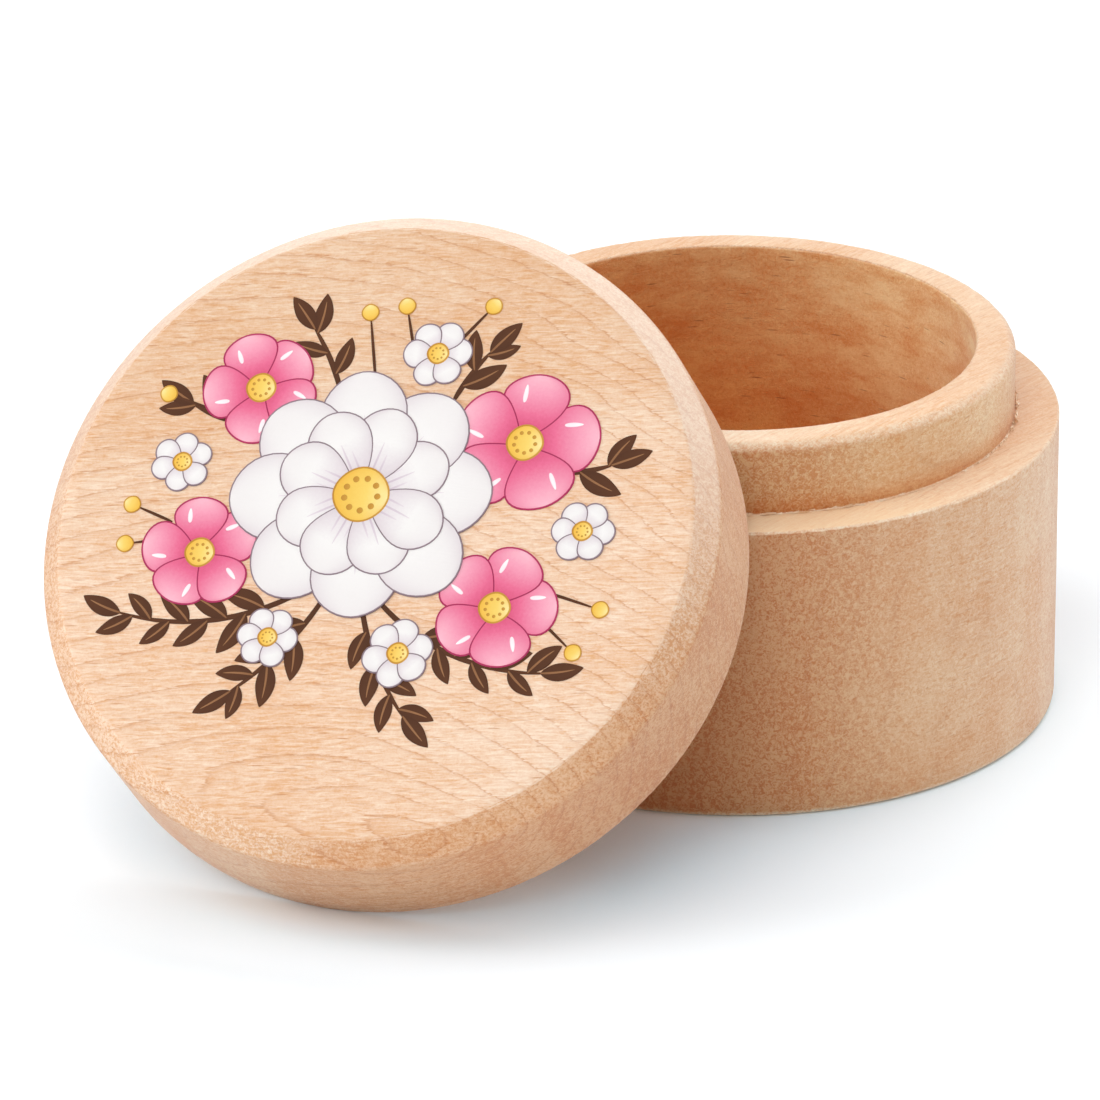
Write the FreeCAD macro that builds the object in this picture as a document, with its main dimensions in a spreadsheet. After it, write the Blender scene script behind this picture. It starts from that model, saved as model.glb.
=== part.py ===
# Round turned-wood keepsake box for milk teeth: a cup with a stepped spigot and a push-on lid.
# The lid is off the box: it stands on the edge of its open side and leans back on the spigot's top edge.
# Millimetres. The origin is the centre of the base's underside, +Z is up along the turning axis,
# and +Y is the way the lid leans.
import FreeCAD, Part
import os
import Sketcher

# Every size that can be set by itself, and what it measures.
SIZES = [
    ("base_diameter", 48.0, "outside of the cup"),
    ("base_height", 22.5, "underside to the shoulder that carries the closed lid"),
    ("base_foot_rounding", 0.4, "edge of the underside"),
    ("shoulder_width", 3.3, "outer wall to the spigot's wall"),
    ("shoulder_rounding", 0.2, "outer edge of the shoulder, only broken with sandpaper"),
    ("spigot_height", 5.5, "shoulder to the top of the rim"),
    ("spigot_wall", 2.9, "thickness of the rim that the lid goes over"),
    ("spigot_top_rounding", 0.9, "outer edge of the rim, which leads the lid on"),
    ("cavity_mouth_rounding", 0.4, "inner edge of the rim"),
    ("cavity_floor_thickness", 4.5, "wood left under the cavity"),
    ("cavity_floor_rounding", 1.5, "corner that the hollowing tool's nose leaves"),
    ("lid_overhang", 1.0, "how far the lid stands out past the cup all round, for grip"),
    ("lid_top_thickness", 4.9, "wood between the recess and the face"),
    ("lid_bevel_width", 1.6, "how far the bevel round the face reaches in from the lid's side"),
    ("lid_bevel_height", 1.7, "how far the bevel reaches down the side from the face"),
    ("lid_bevel_inner_rounding", 0.25, "edge between the face and the bevel, only broken with sandpaper"),
    ("lid_bevel_outer_rounding", 0.8, "edge between the bevel and the side, sanded soft for the hand"),
    ("lid_rim_rounding", 0.3, "outer edge of the open side"),
    ("recess_mouth_rounding", 0.3, "inner edge of the open side"),
    ("recess_corner_rounding", 0.5, "corner inside the recess"),
    ("fit_clearance", 0.15, "between the spigot and the recess's wall, on each side"),
    ("seat_clearance", 0.4, "between the spigot's top and the recess's bottom when closed"),
    ("lean_angle", 46.4, "degrees from upright of the leaning lid's axis"),
    ("lean_gap", 0.1, "between the open side's plane and the edge that it leans on"),
    ("lid_aside", 14.4, "how far the leaning lid stands to the left of the base's middle"),
    ("cut_overrun", 1.0, "how far a hollowing cut starts outside the wood"),
]

FULL_TURN = 360.0
EDGE_TOLERANCE = 1e-4

doc = FreeCAD.newDocument("tooth_box")
sheet = doc.addObject("Spreadsheet::Sheet", "Sizes")
for row, (alias, value, meaning) in enumerate(SIZES, start=1):
    sheet.set(f"A{row}", meaning)
    sheet.set(f"B{row}", str(value))
    sheet.setAlias(f"B{row}", alias)
doc.recompute()


def new_body(label):
    body = doc.addObject("PartDesign::Body", label)
    body.Label = label
    return body


def half_profile(body, name, corners):
    """Draw a closed half section whose corners are (radius, height) expressions, beside the turning axis."""
    sketch = body.newObject("Sketcher::SketchObject", name)
    planes = [plane for plane in body.Origin.OriginFeatures if plane.Role == "XZ_Plane"]
    sketch.AttachmentSupport = (planes[0], [""])
    sketch.MapMode = "FlatFace"
    places = [FreeCAD.Vector(float(body.evalExpression(radius)), float(body.evalExpression(height)), 0)
              for radius, height in corners]
    for start, end in zip(places, places[1:] + places[:1]):
        sketch.addGeometry(Part.LineSegment(start, end))
    origin, begin, finish = (-1, 1), 1, 2
    for index, (radius, height) in enumerate(corners):
        before = (index - 1) % len(corners)
        sketch.addConstraint(Sketcher.Constraint("Coincident", before, finish, index, begin))
        for kind, letter, size in (("DistanceX", "x", radius), ("DistanceY", "y", height)):
            value = places[index].x if letter == "x" else places[index].y
            number = sketch.addConstraint(Sketcher.Constraint(kind, *origin, index, begin, value))
            sketch.renameConstraint(number, f"corner_{letter}_{index + 1}")
            sketch.setExpression(f"Constraints.corner_{letter}_{index + 1}", size)
    return sketch


def turn(body, kind, name, corners):
    """Spin a half section about the turning axis, as wood added or as a cut."""
    sketch = half_profile(body, name + "_section", corners)
    feature = body.newObject(kind, name)
    feature.Profile = sketch
    feature.ReferenceAxis = (sketch, ["V_Axis"])
    feature.Angle = FULL_TURN
    doc.recompute()
    return feature


def round_edge(body, name, radius, height, rounding):
    """Round the ring-shaped edge at that radius and height."""
    wanted_radius = float(body.evalExpression(radius))
    wanted_height = float(body.evalExpression(height))
    before = body.Tip
    edges = []
    for number, edge in enumerate(before.Shape.Edges, start=1):
        if not isinstance(edge.Curve, Part.Circle):
            continue
        ring = edge.Curve
        if (abs(ring.Radius - wanted_radius) < EDGE_TOLERANCE
                and abs(ring.Center.z - wanted_height) < EDGE_TOLERANCE):
            edges.append(f"Edge{number}")
    fillet = body.newObject("PartDesign::Fillet", name)
    fillet.Base = (before, edges)
    fillet.setExpression("Radius", rounding)
    doc.recompute()
    return fillet


# The cup: the outside is turned first, then the cavity is bored out and the edges are broken.
BASE_RADIUS = "Sizes.base_diameter / 2"
SHOULDER = "Sizes.base_height"
SPIGOT_RADIUS = f"({BASE_RADIUS} - Sizes.shoulder_width)"
SPIGOT_TOP = f"({SHOULDER} + Sizes.spigot_height)"
CAVITY_RADIUS = f"({SPIGOT_RADIUS} - Sizes.spigot_wall)"
CAVITY_FLOOR = "Sizes.cavity_floor_thickness"
ABOVE_RIM = f"({SPIGOT_TOP} + Sizes.cut_overrun)"

base = new_body("box_base")
turn(base, "PartDesign::Revolution", "turned_outside", [
    ("0", "0"),
    (BASE_RADIUS, "0"),
    (BASE_RADIUS, SHOULDER),
    (SPIGOT_RADIUS, SHOULDER),
    (SPIGOT_RADIUS, SPIGOT_TOP),
    ("0", SPIGOT_TOP),
])
turn(base, "PartDesign::Groove", "bored_cavity", [
    ("0", CAVITY_FLOOR),
    (CAVITY_RADIUS, CAVITY_FLOOR),
    (CAVITY_RADIUS, ABOVE_RIM),
    ("0", ABOVE_RIM),
])
round_edge(base, "foot_edge", BASE_RADIUS, "0", "Sizes.base_foot_rounding")
round_edge(base, "shoulder_edge", BASE_RADIUS, SHOULDER, "Sizes.shoulder_rounding")
round_edge(base, "spigot_top_edge", SPIGOT_RADIUS, SPIGOT_TOP, "Sizes.spigot_top_rounding")
round_edge(base, "cavity_mouth_edge", CAVITY_RADIUS, SPIGOT_TOP, "Sizes.cavity_mouth_rounding")
round_edge(base, "cavity_floor_corner", CAVITY_RADIUS, CAVITY_FLOOR, "Sizes.cavity_floor_rounding")

# The lid, drawn with its open side at zero and its face up. The recess takes its size from the spigot.
LID_RADIUS = f"({BASE_RADIUS} + Sizes.lid_overhang)"
RECESS_RADIUS = f"({SPIGOT_RADIUS} + Sizes.fit_clearance)"
RECESS_BOTTOM = "(Sizes.spigot_height + Sizes.seat_clearance)"
LID_FACE = f"({RECESS_BOTTOM} + Sizes.lid_top_thickness)"
FACE_RADIUS = f"({LID_RADIUS} - Sizes.lid_bevel_width)"
BEVEL_FOOT = f"({LID_FACE} - Sizes.lid_bevel_height)"
BELOW_OPEN_SIDE = "-Sizes.cut_overrun"

lid = new_body("lid")
turn(lid, "PartDesign::Revolution", "turned_disc", [
    ("0", "0"),
    (LID_RADIUS, "0"),
    (LID_RADIUS, BEVEL_FOOT),
    (FACE_RADIUS, LID_FACE),
    ("0", LID_FACE),
])
turn(lid, "PartDesign::Groove", "turned_recess", [
    ("0", BELOW_OPEN_SIDE),
    (RECESS_RADIUS, BELOW_OPEN_SIDE),
    (RECESS_RADIUS, RECESS_BOTTOM),
    ("0", RECESS_BOTTOM),
])
round_edge(lid, "face_edge", FACE_RADIUS, LID_FACE, "Sizes.lid_bevel_inner_rounding")
round_edge(lid, "bevel_edge", LID_RADIUS, BEVEL_FOOT, "Sizes.lid_bevel_outer_rounding")
round_edge(lid, "rim_edge", LID_RADIUS, "0", "Sizes.lid_rim_rounding")
round_edge(lid, "recess_mouth_edge", RECESS_RADIUS, "0", "Sizes.recess_mouth_rounding")
round_edge(lid, "recess_corner", RECESS_RADIUS, RECESS_BOTTOM, "Sizes.recess_corner_rounding")

# Where the lid leans. The rounded rim edge of its open side touches the floor, and the flat of that rim
# stops short of whichever edge of the base stands further out: the spigot's top or the shoulder's.
LEAN = "Sizes.lean_angle"
FLAT_SHARE = f"(1 - sin({LEAN}))"
LEVEL_SHARE = f"(1 - cos({LEAN}))"
RIM_INSIDE = f"({RECESS_RADIUS} + Sizes.recess_mouth_rounding)"
SPIGOT_EDGE = (f"({SPIGOT_RADIUS} - Sizes.spigot_top_rounding * {FLAT_SHARE})",
               f"({SPIGOT_TOP} - Sizes.spigot_top_rounding * {LEVEL_SHARE})")
SHOULDER_EDGE = (f"({BASE_RADIUS})", SHOULDER)


def lean_values(edge, radius, height):
    """Name the distances that say where the lid's flat rim meets one ring-shaped edge of the base."""
    return [
        (f"{edge}Climb", "how far up the open side the edge lies, from its centre",
         f"({height} - StandHeight) / sin({LEAN})"),
        (f"{edge}Aside", "how far beside the base's middle the rim meets the edge, past the recess",
         f"max(0; sqrt(max(0; {RIM_INSIDE}^2 - {edge}Climb^2)) - Sizes.lid_aside)"),
        (f"{edge}Reach", "how far in front of the base's axis the edge holds the open side's centre",
         f"sqrt({radius}^2 - {edge}Aside^2) + {edge}Climb * cos({LEAN})"),
    ]


LEAN_VALUES = [
    ("StandHeight", "height of the open side's centre",
     f"({LID_RADIUS} - Sizes.lid_rim_rounding) * sin({LEAN}) + Sizes.lid_rim_rounding * {LEVEL_SHARE}"),
    *lean_values("Spigot", *SPIGOT_EDGE),
    *lean_values("Shoulder", *SHOULDER_EDGE),
    ("LeanReach", "how far in front of the base's axis the open side's centre stands",
     f"max(SpigotReach; ShoulderReach) + Sizes.lean_gap / sin({LEAN})"),
]
for name, meaning, formula in LEAN_VALUES:
    lid.addProperty("App::PropertyFloat", name, "Lean", meaning)
    lid.setExpression(name, formula)
    doc.recompute()
TIP_AXIS = FreeCAD.Vector(1, 0, 0)
lid.Placement = FreeCAD.Placement(FreeCAD.Vector(), FreeCAD.Rotation(TIP_AXIS, sheet.lean_angle))
lid.setExpression("Placement.Rotation.Angle", LEAN)
lid.setExpression("Placement.Base.x", "-Sizes.lid_aside")
lid.setExpression("Placement.Base.y", "-LeanReach")
lid.setExpression("Placement.Base.z", "StandHeight")
doc.recompute()

# Nothing is written unless every object came out sound.
failed = [item.Label for item in doc.Objects if {"Invalid", "Error"} & set(item.State)]
if failed:
    raise RuntimeError(f"failed objects: {failed}")
pieces = [base, lid]
for piece in pieces:
    if piece.Shape.isNull() or not piece.Shape.isValid() or len(piece.Shape.Solids) != 1:
        raise RuntimeError(f"{piece.Label} is not one sound solid")

os.makedirs("parts", exist_ok=True)
for piece in pieces:
    piece.Shape.exportStep(os.path.join("parts", piece.Label + ".step"))
    box = piece.Shape.optimalBoundingBox(False)
    print(f"{piece.Label}: {piece.Shape.Volume:.1f} mm3, x {box.XMin:.2f} to {box.XMax:.2f},"
          f" y {box.YMin:.2f} to {box.YMax:.2f}, z {box.ZMin:.3f} to {box.ZMax:.2f}")
gap = base.Shape.distToShape(lid.Shape)[0]
print(f"the leaning lid stands {gap:.3f} mm from the base")
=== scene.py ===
# %% [markdown]
# # A turned beech box for first teeth
# This lesson dresses a small round box that a wood turner made from two blanks of beech: a cup with a
# stepped mouth, and a lid that pushes over it. The CAD model gives every size. Blender adds what a hand
# and an eye notice: softly sanded edges, growth rings, dark flecks, a printed posy and studio light.

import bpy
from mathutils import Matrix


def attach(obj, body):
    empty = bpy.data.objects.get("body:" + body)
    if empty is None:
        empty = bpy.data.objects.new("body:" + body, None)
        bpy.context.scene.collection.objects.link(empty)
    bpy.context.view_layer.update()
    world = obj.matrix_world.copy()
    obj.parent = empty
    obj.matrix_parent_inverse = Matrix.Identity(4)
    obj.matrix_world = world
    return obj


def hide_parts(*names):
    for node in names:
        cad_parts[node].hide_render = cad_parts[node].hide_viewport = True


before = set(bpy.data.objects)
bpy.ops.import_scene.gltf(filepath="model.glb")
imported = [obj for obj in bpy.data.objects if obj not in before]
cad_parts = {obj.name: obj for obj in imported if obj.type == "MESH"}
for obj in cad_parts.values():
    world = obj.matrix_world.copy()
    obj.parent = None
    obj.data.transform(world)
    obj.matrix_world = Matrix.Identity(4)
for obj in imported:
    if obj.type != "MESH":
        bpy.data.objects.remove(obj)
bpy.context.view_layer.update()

# %% [markdown]
# ## Tools for the whole lesson
# Everything below is thought out in millimetres, as a turner would, and Blender works in metres, so one
# value changes between them. Colours are written as the hex values that a screen shows, and one function
# turns them into the linear values that a shader needs.

# %% Units and colours
import math
import random

import bpy
from mathutils import Euler, Matrix, Vector, noise

MM = 0.001


def linear(code):
    """A shader's colour from an sRGB hex code."""
    parts = [int(code[i:i + 2], 16) / 255 for i in (1, 3, 5)]
    return [c / 12.92 if c <= 0.04045 else ((c + 0.055) / 1.055) ** 2.4 for c in parts] + [1.0]


print("a middle grey in linear light", [round(c, 3) for c in linear("#808080")])

# %% [markdown]
# A material is a small machine of nodes. Writing each node out in full would bury the idea under settings,
# so one helper adds a node, sets what it is given and joins the links. Words with a capital are sockets,
# the others are the node's own properties, and a number picks a socket by its place.

# %% One helper for nodes


def add(material, kind, settings=None, links=None):
    """Adds one node to a material, with its settings and the links into it."""
    tree = material.node_tree
    node = tree.nodes.new("ShaderNode" + kind)
    for key, value in (settings or {}).items():
        if key == "stops":
            while len(node.color_ramp.elements) < len(value):
                node.color_ramp.elements.new(1.0)
            for stop, (place, colour) in zip(node.color_ramp.elements, value):
                stop.position = place
                stop.color = colour
        elif isinstance(key, int) or key[0].isupper():
            node.inputs[key].default_value = value
        else:
            setattr(node, key, value)
    for key, source in (links or {}).items():
        out = source if isinstance(source, bpy.types.NodeSocket) else source.outputs[0]
        tree.links.new(out, node.inputs[key])
    return node


def new_material(name):
    """An empty node material."""
    material = bpy.data.materials.new(name)
    material.use_nodes = True
    material.node_tree.nodes.clear()
    return material


# %% [markdown]
# Some kinds of node keep coming back: a sum, a change of range, a soft noise, a ramp of colours and the
# shader. Each gets a short name of its own, so that a material later reads like a recipe. A range is the
# two ends that a value starts from and, where they are not 0 and 1, the two that it goes to.

# %% Sums, ranges, noises, ramps and shaders


def calc(material, operation, *values):
    """One sum, from plain numbers and from what other nodes give."""
    plain = {i: value for i, value in enumerate(values) if isinstance(value, float)}
    links = {i: value for i, value in enumerate(values) if i not in plain}
    return add(material, "Math", {"operation": operation, **plain}, links)


def ranged(material, value, low, high, to_low=0.0, to_high=1.0, smooth=False):
    """A value carried from one range to another and held at both ends."""
    settings = {"From Min": low, "From Max": high, "To Min": to_low, "To Max": to_high}
    if smooth:
        settings["interpolation_type"] = "SMOOTHSTEP"
    return add(material, "MapRange", settings, {"Value": value})


def stretched(material, spot, size):
    """The spot measured in sizes along x, y and z."""
    return add(material, "VectorMath", {"operation": "MULTIPLY", 1: [1 / s for s in size]}, {0: spot})


def noise_at(material, spot, size, detail, roughness=0.5, distortion=0.0):
    """A soft noise, with swells of about a size along x, y and z."""
    settings = {"Scale": 1.0, "Detail": detail, "Roughness": roughness, "Distortion": distortion}
    return add(material, "TexNoise", settings, {"Vector": stretched(material, spot, size)})


def ramp(material, stops, value):
    """A colour that changes with a value, from hex codes at places."""
    return add(material, "ValToRGB", {"stops": [(p, linear(code)) for p, code in stops]}, {"Fac": value})


def surface(material, settings, links):
    """Ends a material with its shader."""
    shader = add(material, "BsdfPrincipled", settings, links)
    add(material, "OutputMaterial", {}, {"Surface": shader})


# %% [markdown]
# ## The camera
# The picture was taken from a little above and from a good distance, which is why the box looks almost
# without perspective. A long lens from far away gives the same calm look. The place and the lens were
# worked out from the rings of the box as the picture shows them: a ring seen from an angle is an ellipse,
# and its shape tells where the eye was.

# %% Set up the camera
CAMERA_PLACE = Vector((255.06, -767.6, 358.97)) * MM
CAMERA_HEADING = math.radians(19.337)
CAMERA_PITCH_DOWN = 0.4065
CAMERA_ROLL = 0.0024
FOCAL_LENGTH_PIXELS = 11889
IMAGE_PIXELS = 1100
SENSOR_MM = 36.0


def placed(name, data):
    """A new object in the scene."""
    thing = bpy.data.objects.new(name, data)
    bpy.context.scene.collection.objects.link(thing)
    return thing


eye = bpy.data.cameras.new("studio_camera")
eye.sensor_width = SENSOR_MM
eye.lens = FOCAL_LENGTH_PIXELS / IMAGE_PIXELS * SENSOR_MM
camera = placed("studio_camera", eye)
aim = Euler((math.pi / 2 - CAMERA_PITCH_DOWN, 0, CAMERA_HEADING)).to_matrix().to_4x4()
camera.matrix_world = Matrix.Translation(CAMERA_PLACE) @ aim @ Matrix.Rotation(CAMERA_ROLL, 4, "Z")
bpy.context.scene.camera = camera
print("lens", round(eye.lens, 1), "mm")

# %% [markdown]
# ## The studio
# Small wooden goods are usually shown on a white card among soft boxes, which are lamps behind white
# cloth. The card, a plain sheet that reaches past every edge of the picture, throws light back up on the
# walls. Shop pictures are cleaned up afterwards: the open card is lifted to pure white, and the warm light
# that the wood throws on it is taken out of the shadows. A weak glow does the same here. An Ambient
# Occlusion node tells how open each point of the card lies, so the glow can be nothing where the wood
# closes in, faintly blue beside it and white in the open.

# %% White card
CARD_SIZE = 6.0
OPEN_REACH = 45.0
OPEN_SAMPLES = 16
GLOW_STRENGTH = 0.16
CARD_GLOW = [(0.2, "#000000"), (0.32, "#0088A8"), (0.44, "#2CBEE4"), (0.6, "#A8D6F0"), (0.85, "#E0E5EA"),
             (1.0, "#E1E1E1")]
half = CARD_SIZE / 2
card_corners = [(-half, -half, 0), (half, -half, 0), (half, half, 0), (-half, half, 0)]
card_mesh = bpy.data.meshes.new("white_card")
card_mesh.from_pydata(card_corners, [], [(0, 1, 2, 3)])
card = placed("white_card", card_mesh)

card_paper = new_material("matt_white_card")
card_open = add(card_paper, "AmbientOcclusion", {"samples": OPEN_SAMPLES, "Distance": OPEN_REACH * MM})
card_glow = ramp(card_paper, CARD_GLOW, card_open.outputs["AO"])
surface(card_paper, {"Base Color": linear("#EEF3F6"), "Roughness": 0.9, "Specular IOR Level": 0.1,
                     "Emission Strength": GLOW_STRENGTH}, {"Emission Color": card_glow})
card_mesh.materials.append(card_paper)
print("card", CARD_SIZE, "m wide")

# %% [markdown]
# The light and shade in the picture tell where the soft boxes stood: the cup's inner wall is brightest on
# the right, the lid shades the cup beside it, and the table is darkest between the two. Lamps at the
# front, the left and the back, low ones at both sides and one overhead give all of that together. Each is
# a bearing from the camera's side, a height in degrees and a power in watts. The room beyond is dark.

# %% Soft boxes
SOFT_BOX_WIDTH = 0.85
SOFT_BOX_DISTANCE = 1.0
SOFT_BOX_TARGET = Vector((-0.01, -0.02, 0.02))
soft_boxes = {
    "front": (0, 37, 3.36), "front_left": (-45, 55, 2.71), "left": (-90, 35, 2.6),
    "low_left": (-90, 15, 4.01), "low_right": (90, 15, 3.15), "back_right": (135, 35, 5.1),
    "back": (180, 35, 3.15), "overhead": (0, 89, 2.28),
}
for name, (bearing, height, watts) in soft_boxes.items():
    turn = CAMERA_HEADING + math.radians(bearing - 90)
    rise = math.radians(height)
    away = Vector((math.cos(turn) * math.cos(rise), math.sin(turn) * math.cos(rise), math.sin(rise)))
    lamp = bpy.data.lights.new("soft_box_" + name, "AREA")
    lamp.shape = "DISK"
    lamp.size = SOFT_BOX_WIDTH
    lamp.energy = watts
    box = placed("soft_box_" + name, lamp)
    box.location = away * SOFT_BOX_DISTANCE
    box.rotation_euler = (SOFT_BOX_TARGET - box.location).to_track_quat("-Z", "Y").to_euler()

world = bpy.data.worlds.new("dark_room")
bpy.context.scene.world = world
world.use_nodes = True
world.node_tree.nodes["Background"].inputs["Strength"].default_value = 0.0
bpy.context.scene.view_settings.view_transform = "Standard"
print(len(soft_boxes), "soft boxes")

# %% [markdown]
# ## Turning a piece
# Both pieces were spun on a lathe, so half of their outline says everything. The outline is a list of
# corners, each with a radius, a height, how far it was rounded over and how much it has worn. The helper
# rounds the corners into arcs and puts points along the straight runs, so that the surface can be a
# little uneven later. Blender's own Spin or Screw tool could turn the outline too. Doing it here keeps
# the points in order, ring by ring, and each point knows which corner or run it belongs to.

# %% Round the corners of an outline
ARC_STEPS = 8
ARC_SPREAD = 0.4
SURFACE_STEP = 1.0


def outline(corners):
    """(radius, height, wear, place in the list of corners) along a half outline, in millimetres."""
    points = []
    for i, (radius, height, rounding, wear) in enumerate(corners):
        here = Vector((radius, height))
        if rounding == 0:
            points.append((here, 0.0, i))
            continue
        back = (Vector(corners[i - 1][:2]) - here).normalized()
        ahead = (Vector(corners[i + 1][:2]) - here).normalized()
        half_angle = back.angle(ahead) / 2
        centre = here + (back + ahead).normalized() * rounding / math.sin(half_angle)
        first = here + back * rounding / math.tan(half_angle) - centre
        last = here + ahead * rounding / math.tan(half_angle) - centre
        swing = first.angle(last)
        for k in range(ARC_STEPS + 1):
            a = k / ARC_STEPS
            spoke = first * math.sin((1 - a) * swing) + last * math.sin(a * swing)
            at = i + ARC_SPREAD * (a - 0.5)
            points.append((centre + spoke / math.sin(swing), wear * math.sin(a * math.pi), at))
    filled = [points[0]]
    for (start, _, before), (end, wear, after) in zip(points, points[1:]):
        count = max(1, math.ceil((end - start).length / SURFACE_STEP))
        filled += [(start.lerp(end, k / count), 0.0, (before + after) / 2) for k in range(1, count)]
        filled.append((end, wear, after))
    return [(p.x, p.y, wear, place) for p, wear, place in filled]


# %% [markdown]
# A real turned surface is never perfect. Sanding by hand leaves it gently wavy, and small edges wear
# unevenly. Each point is moved along its own normal, by about a hundredth of a millimetre and by up to a
# tenth at a worn edge. The noise depends only on where the point is, so it comes out the same every time.
# Each point also remembers if it lies in the bored hollow, for the material.

# %% Turn an outline round its axis
SEGMENTS = 600
ON_AXIS = 1e-6
WAVE_LENGTH = 7.0
WAVE_HEIGHT = 0.012
CALM_RADIUS = 6.0
WEAR_LENGTH = 0.7
WEAR_DEPTH = 0.11


def wave(spot):
    """How far the sanding left a point off the true surface, in millimetres."""
    return WAVE_HEIGHT * noise.noise(spot / WAVE_LENGTH) * min(1.0, spot.xy.length / CALM_RADIUS)


def turned(name, corners, hollow, place, body):
    """A lathe-turned piece from its half outline. The hollow is the range of corners that was bored."""
    points = outline(corners)
    vertices, faces, rings, bored = [], [], [], []
    for i, (radius, height, wear, corner) in enumerate(points):
        before = Vector(points[max(i - 1, 0)][:2])
        after = Vector(points[min(i + 1, len(points) - 1)][:2])
        along = (after - before).normalized()
        count = 1 if radius < ON_AXIS else SEGMENTS
        rings.append(range(len(vertices), len(vertices) + count))
        bored += [float(hollow[0] < corner < hollow[1])] * count
        for k in range(count):
            a = 2 * math.pi * k / count
            spot = Vector((radius * math.cos(a), radius * math.sin(a), height))
            move = wave(spot) - WEAR_DEPTH * wear * abs(noise.noise(spot / WEAR_LENGTH))
            out = radius + along.y * move
            vertices.append(Vector((out * math.cos(a), out * math.sin(a), height - along.x * move)) * MM)
    for low, high in zip(rings, rings[1:]):
        for k in range(SEGMENTS):
            n = (k + 1) % SEGMENTS
            if len(low) == 1:
                faces.append((low[0], high[n], high[k]))
            elif len(high) == 1:
                faces.append((low[k], low[n], high[0]))
            else:
                faces.append((low[k], low[n], high[n], high[k]))
    mesh = bpy.data.meshes.new(name)
    mesh.from_pydata(vertices, [], faces)
    mesh.polygons.foreach_set("use_smooth", [True] * len(mesh.polygons))
    mesh.attributes.new("bored", "FLOAT", "POINT").data.foreach_set("value", bored)
    piece = placed(name, mesh)
    piece.matrix_world = place
    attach(piece, body)
    print(name, len(vertices), "points,", len(faces), "faces")
    return piece


# %% [markdown]
# ## The cup
# The cup stands on a flat underside. Its wall rises straight to a flat shoulder, and from there a narrower
# ring, the spigot, carries on up. The lid's recess slides over that ring, which is what holds the box
# shut. The mouth's outer edge was rounded over, so the lid finds its way, and the cavity was bored
# straight down.

# %% Turn the cup
CUP_RADIUS = 24.0
SHOULDER_HEIGHT = 22.5
SPIGOT_RADIUS = 20.7
RIM_HEIGHT = 28.0
CAVITY_RADIUS = 17.8
CAVITY_FLOOR = 4.5

# radius, height, rounding and wear of each corner
cup_corners = [
    (0, 0, 0, 0), (CUP_RADIUS, 0, 0.6, 0.3), (CUP_RADIUS, SHOULDER_HEIGHT, 0.2, 1.0),
    (SPIGOT_RADIUS, SHOULDER_HEIGHT, 0.15, 0), (SPIGOT_RADIUS, RIM_HEIGHT, 0.9, 0.7),
    (CAVITY_RADIUS, RIM_HEIGHT, 0.2, 0.8), (CAVITY_RADIUS, CAVITY_FLOOR, 1.5, 0), (0, CAVITY_FLOOR, 0, 0),
]
cup = turned("turned_cup", cup_corners, hollow=(5, 8), place=Matrix.Identity(4), body="base")
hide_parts("box_base")

# %% [markdown]
# ## The lid
# The lid is a thick disc with a bevel round its face, and a recess underneath that is a hair wider than
# the spigot. The bevel's inner edge is crisp and its outer edge was sanded soft. In the picture the lid
# leans on the cup. It is turned upright here, with its open side at height zero, and then put where the
# CAD model has it: tipped back by the lean, with one edge on the table.

# %% Turn the lid
LID_RADIUS = 25.0
LID_HEIGHT = 10.8
BEVEL_WIDTH = 1.6
BEVEL_HEIGHT = 1.7
RECESS_RADIUS = 20.85
RECESS_DEPTH = 5.9
LID_LEAN = math.radians(46.4)
LID_OPEN_SIDE = Vector((-14.4, -29.774, 17.980)) * MM

lid_place = Matrix.Translation(LID_OPEN_SIDE) @ Matrix.Rotation(LID_LEAN, 4, "X")
lid_corners = [
    (0, RECESS_DEPTH, 0, 0), (RECESS_RADIUS, RECESS_DEPTH, 0.5, 0), (RECESS_RADIUS, 0, 0.3, 0.6),
    (LID_RADIUS, 0, 0.3, 0.6), (LID_RADIUS, LID_HEIGHT - BEVEL_HEIGHT, 0.8, 0.2),
    (LID_RADIUS - BEVEL_WIDTH, LID_HEIGHT, 0.25, 0.7), (0, LID_HEIGHT, 0, 0),
]
lid = turned("turned_lid", lid_corners, hollow=(-1, 2), place=lid_place, body="lid")
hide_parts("lid")

# %% [markdown]
# ## Beech
# Beech is a pale, even wood. It was turned and sanded, and nothing was put on it, so it is matt with a
# faint glow at glancing angles. What the eye reads as beech is four things: thin dark lines where one
# year's growth ends, short dark flecks along the grain, fine silky fibres, and darker, redder wood where
# the fibres are cut across. A solid pattern, worked out at each point inside the wood, makes all of them
# run round the edges as they do in a real block. A picture wrapped round the outside could not.
#
# First comes the block itself: the point that is being shaded, in millimetres, along the fibres (x),
# across them (y) and through the thickness (z). A single fibre, about 0.02 mm wide, is too fine to show, so
# bundles of them are drawn, ten times as wide.

# %% The block and its fibres
FIBRE_SIZE = (1.5, 0.2, 0.2)
CLOUD_SIZE = (20.0, 6.0, 6.0)


def block_of(wood, where, board):
    """A point in the block of wood, in millimetres."""
    return add(wood, "Mapping", {"vector_type": "TEXTURE", "Location": (0, 0, board["face"] * MM),
                                 "Rotation": (0, 0, board["grain"]), "Scale": (MM, MM, MM)},
               {"Vector": where.outputs["Object"]})


def fibres(wood, spot):
    """Fine silky streaks along the grain, and slow cloudy changes of tone."""
    return noise_at(wood, spot, FIBRE_SIZE, 3.0, 0.6, 0.9), noise_at(wood, spot, CLOUD_SIZE, 2.0)


print("fibres", FIBRE_SIZE[0], "mm long and", FIBRE_SIZE[1], "mm wide")

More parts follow.
